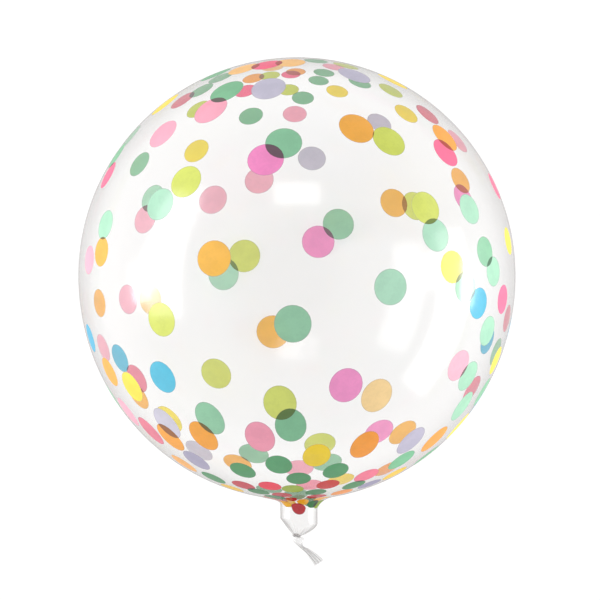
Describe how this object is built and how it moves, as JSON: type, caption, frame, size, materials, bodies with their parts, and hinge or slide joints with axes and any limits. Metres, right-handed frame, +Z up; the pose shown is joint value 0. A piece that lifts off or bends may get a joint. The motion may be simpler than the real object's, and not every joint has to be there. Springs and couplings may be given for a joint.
{
  "type": "clear bubble balloon",
  "caption": "Round clear film balloon with printed confetti dots, a tied neck and a short film tail, lying on its side.",
  "frame": {"origin": "centre of the flat spot that the lying balloon rests on, straight below the middle of its bubble", "axes": "+Z up, away from the floor; +Y along the balloon's axis, from the neck towards the crown; the tail turns towards +X"},
  "size_m": [0.4, 0.4661, 0.3977],
  "materials": {
    "clear_film": "thin clear glossy plastic film, printed with round confetti dots in green, mint, pink, orange, yellow, lime, lavender and blue"
  },
  "bodies": {
    "root": {"balloon": "clear_film"}
  },
  "joints": []
}
